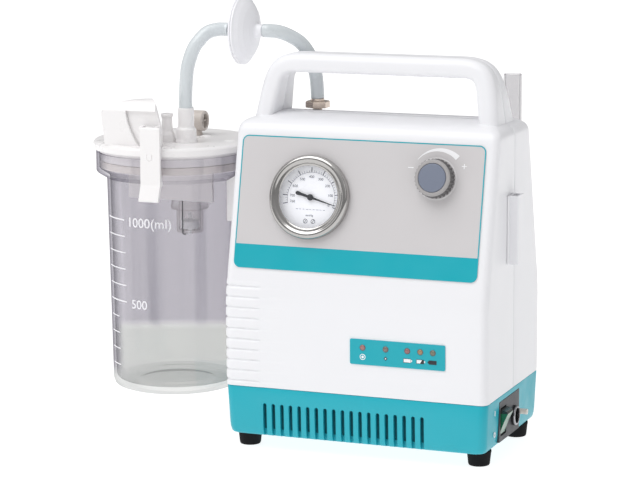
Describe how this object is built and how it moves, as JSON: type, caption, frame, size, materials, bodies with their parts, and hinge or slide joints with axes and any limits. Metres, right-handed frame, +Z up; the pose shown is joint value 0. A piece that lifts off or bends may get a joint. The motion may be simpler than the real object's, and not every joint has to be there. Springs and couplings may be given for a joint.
{
  "type": "portable suction pump",
  "caption": "Portable suction pump: white housing with carrying handle on a vented base tray, vacuum gauge, regulator knob and a clear collection jar at its side.",
  "frame": {"origin": "centre of the bounding box (without the hose and filter) on the floor under the feet", "axes": "+Z up, +X from the jar side to the switch side (longest extent), -Y is the front with the gauge"},
  "size_m": [0.3528, 0.16, 0.3425],
  "materials": {
    "white_shell": "satin moulded",
    "teal_tray": "satin moulded",
    "foot_rubber": "matt",
    "screw_steel": "bright",
    "panel_label": "printed film",
    "teal_label": "printed film",
    "bezel_steel": "polished",
    "dial_white": "printed",
    "gauge_glass": "clear",
    "needle_black": "matt",
    "knob_grey": "fine texture",
    "cap_grey": "satin",
    "valve_brass": "nickel tinted",
    "plate_grey": "matt",
    "rocker_green": "gloss",
    "black_plastic": "matt",
    "clear_plastic": "clear moulded",
    "lid_white": "satin moulded",
    "gasket": "matt",
    "port_beige": "satin",
    "float_white": "satin",
    "hose_silicone": "translucent silicone",
    "filter_white": "satin",
    "lamp_red": "translucent",
    "cast_metal": "cast",
    "motor_can": "plated",
    "board_green": "coated",
    "battery_black": "matt"
  },
  "bodies": {
    "housing": {"front_shell": "white_shell", "rear_shell": "white_shell", "base_tray": "teal_tray", "foot_front_left": "foot_rubber", "foot_front_right": "foot_rubber", "foot_rear_left": "foot_rubber", "foot_rear_right": "foot_rubber", "case_screw_front_left": "screw_steel", "case_screw_front_right": "screw_steel", "case_screw_rear_left": "screw_steel", "case_screw_rear_right": "screw_steel", "switch_plate": "plate_grey", "power_inlet": "black_plastic", "earth_stud": "screw_steel", "switch_housing": "black_plastic", "side_socket_right": "white_shell", "side_socket_left": "white_shell", "front_label": "panel_label", "gauge_case": "bezel_steel", "gauge_bezel": "bezel_steel", "gauge_dial": "dial_white", "gauge_glass": "gauge_glass", "regulator_valve": "valve_brass", "indicator_label": "teal_label", "indicator_lamps": "lamp_red", "hose_nipple": "valve_brass", "tube_holder": "white_shell", "motor": "motor_can", "motor_bracket": "cast_metal", "pump_head": "cast_metal", "battery_pack": "battery_black", "circuit_board": "board_green", "vacuum_tube": "hose_silicone"},
    "needle": {"gauge_needle": "needle_black"},
    "knob": {"regulator_knob": "knob_grey", "regulator_stem": "screw_steel", "knob_cap": "cap_grey"},
    "rocker": {"power_rocker": "rocker_green"},
    "jar": {"jar": "clear_plastic", "jar_hanger": "lid_white"},
    "lid": {"lid": "lid_white", "lid_gasket": "gasket", "vacuum_port": "lid_white", "patient_port": "lid_white", "spare_port": "port_beige", "latch_hood": "lid_white", "latch_pin": "screw_steel", "float_cage": "clear_plastic", "splash_plate": "lid_white", "hose_left": "hose_silicone", "hose_right": "hose_silicone", "filter_inlet_half": "filter_white", "filter_outlet_half": "filter_white"},
    "latch": {"latch_strap": "lid_white"},
    "float": {"float": "float_white"},
    "crank": {"crankshaft": "screw_steel", "cooling_fan": "black_plastic"},
    "rod": {"connecting_rod": "cast_metal"},
    "catheter": {"catheter_tube": "clear_plastic"}
  },
  "joints": [
    {"name": "needle_turn", "type": "hinge", "parent": "housing", "child": "needle", "pos_m": [0.023, -0.05862, 0.196], "axis": [0, -0.9759, 0.2182], "range_deg": [0, 214]},
    {"name": "knob_turn", "type": "hinge", "parent": "housing", "child": "knob", "pos_m": [0.1218, -0.05449, 0.2145], "axis": [0, -0.9759, 0.2182], "range_deg": [-270, 0]},
    {"name": "rocker_tilt", "type": "hinge", "parent": "housing", "child": "rocker", "pos_m": [0.164, -0.0325, 0.0295], "axis": [0, -1, 0], "range_deg": [0, 16]},
    {"name": "jar_lift", "type": "slide", "parent": "housing", "child": "jar", "axis": [0, 0, 1], "range_m": [0, 0.06]},
    {"name": "lid_lift", "type": "slide", "parent": "jar", "child": "lid", "axis": [0, 0, 1], "range_m": [0, 0.08]},
    {"name": "latch_swing", "type": "hinge", "parent": "lid", "child": "latch", "pos_m": [-0.107, -0.0643, 0.2426], "axis": [-1, 0, 0], "range_deg": [0, 80]},
    {"name": "float_rise", "type": "slide", "parent": "lid", "child": "float", "axis": [0, 0, 1], "range_m": [0, 0.012]},
    {"name": "crank_spin", "type": "hinge", "parent": "housing", "child": "crank", "pos_m": [0.063, 0.004, 0.07], "axis": [1, 0, 0], "continuous": true},
    {"name": "rod_turn", "type": "hinge", "parent": "crank", "child": "rod", "pos_m": [0.0455, 0.004, 0.073], "axis": [1, 0, 0], "continuous": true},
    {"name": "catheter_lift", "type": "slide", "parent": "housing", "child": "catheter", "axis": [0, 0, 1], "range_m": [0, 0.15]}
  ],
  "couplings": [
    {"joint": "rod_turn", "follows": "crank_spin", "ratio": -1}
  ]
}
